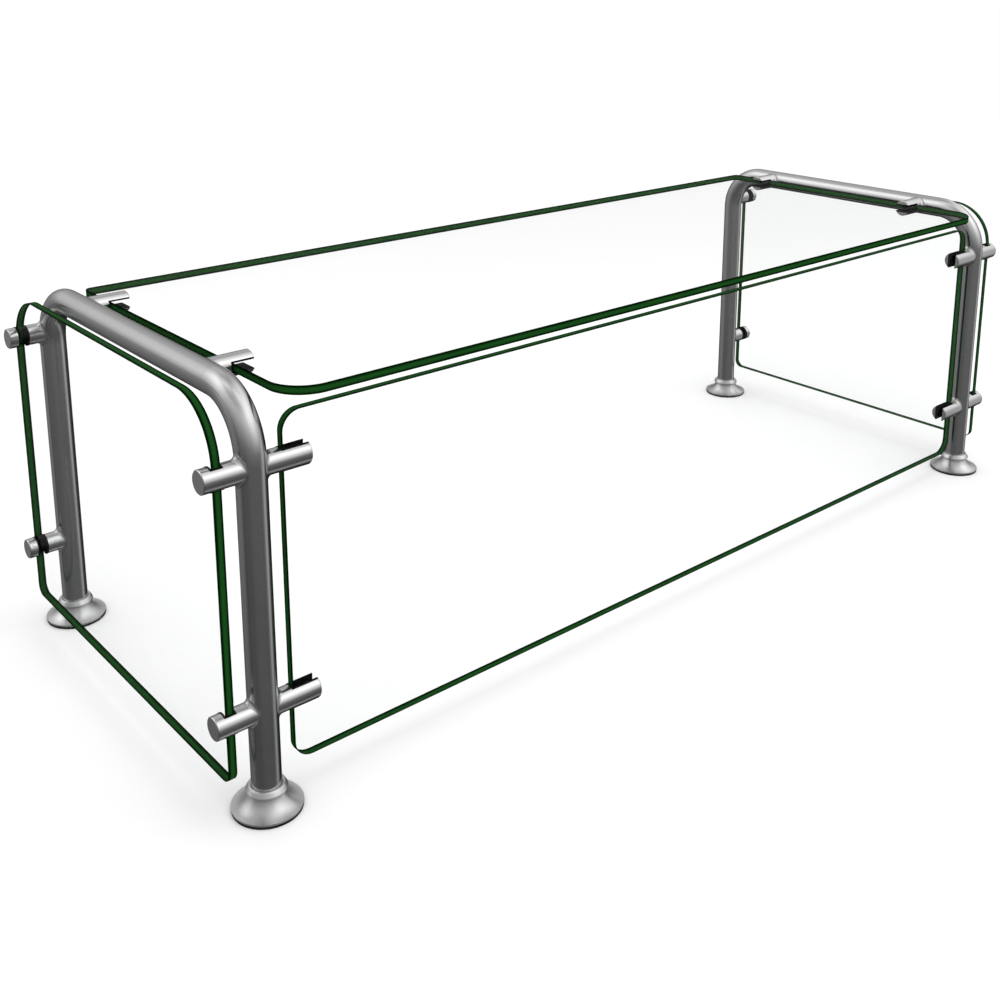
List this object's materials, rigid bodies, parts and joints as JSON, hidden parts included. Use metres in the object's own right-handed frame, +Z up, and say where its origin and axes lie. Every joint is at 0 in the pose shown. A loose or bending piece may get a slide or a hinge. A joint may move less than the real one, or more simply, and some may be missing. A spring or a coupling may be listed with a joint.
{
  "type": "countertop sneeze guard",
  "caption": "Countertop food guard: bent steel tube hoops on flared feet hold clear top, front and end glass panels in slotted rubber-lined clamps; the rear is open.",
  "frame": {"origin": "on the counter, midway between the four feet", "axes": "+X along the guard from hoop to hoop, -Y towards the guests, +Z up"},
  "size_m": [1.734, 0.69, 0.553],
  "materials": {
    "satin_steel": "satin",
    "clamp_steel": "bright satin",
    "cover_steel": "satin",
    "plate_steel": "plain",
    "screw_steel": "plain",
    "black_rubber": "matt",
    "lining_rubber": "matt",
    "clear_glass": "clear, polished edges"
  },
  "bodies": {
    "guard": {"hoop_left": "satin_steel", "hoop_right": "satin_steel", "foot_plate_front_left": "plate_steel", "foot_plate_rear_left": "plate_steel", "foot_plate_front_right": "plate_steel", "foot_plate_rear_right": "plate_steel", "foot_pad_front_left": "black_rubber", "foot_pad_rear_left": "black_rubber", "foot_pad_front_right": "black_rubber", "foot_pad_rear_right": "black_rubber", "glass_front": "clear_glass", "glass_top": "clear_glass", "glass_end_left": "clear_glass", "glass_end_right": "clear_glass", "end_clamp_front_left_low": "clamp_steel", "end_clamp_front_left_high": "clamp_steel", "end_clamp_rear_left_low": "clamp_steel", "end_clamp_rear_left_high": "clamp_steel", "end_clamp_front_right_low": "clamp_steel", "end_clamp_front_right_high": "clamp_steel", "end_clamp_rear_right_low": "clamp_steel", "end_clamp_rear_right_high": "clamp_steel", "end_lining_front_left_low": "lining_rubber", "end_lining_front_left_high": "lining_rubber", "end_lining_rear_left_low": "lining_rubber", "end_lining_rear_left_high": "lining_rubber", "end_lining_front_right_low": "lining_rubber", "end_lining_front_right_high": "lining_rubber", "end_lining_rear_right_low": "lining_rubber", "end_lining_rear_right_high": "lining_rubber", "front_clamp_left_low": "clamp_steel", "front_clamp_left_high": "clamp_steel", "front_clamp_right_low": "clamp_steel", "front_clamp_right_high": "clamp_steel", "front_lining_left_low": "lining_rubber", "front_lining_left_high": "lining_rubber", "front_lining_right_low": "lining_rubber", "front_lining_right_high": "lining_rubber", "top_clamp_front_left": "clamp_steel", "top_clamp_rear_left": "clamp_steel", "top_clamp_front_right": "clamp_steel", "top_clamp_rear_right": "clamp_steel", "top_lining_front_left": "lining_rubber", "top_lining_rear_left": "lining_rubber", "top_lining_front_right": "lining_rubber", "top_lining_rear_right": "lining_rubber", "grub_screws": "screw_steel"},
    "cover_front_left": {"foot_cover_front_left": "cover_steel"},
    "cover_rear_left": {"foot_cover_rear_left": "cover_steel"},
    "cover_front_right": {"foot_cover_front_right": "cover_steel"},
    "cover_rear_right": {"foot_cover_rear_right": "cover_steel"}
  },
  "joints": [
    {"name": "cover_front_left_lift", "type": "slide", "parent": "guard", "child": "cover_front_left", "axis": [0, 0, 1], "range_m": [0, 0.046]},
    {"name": "cover_rear_left_lift", "type": "slide", "parent": "guard", "child": "cover_rear_left", "axis": [0, 0, 1], "range_m": [0, 0.046]},
    {"name": "cover_front_right_lift", "type": "slide", "parent": "guard", "child": "cover_front_right", "axis": [0, 0, 1], "range_m": [0, 0.046]},
    {"name": "cover_rear_right_lift", "type": "slide", "parent": "guard", "child": "cover_rear_right", "axis": [0, 0, 1], "range_m": [0, 0.046]}
  ]
}
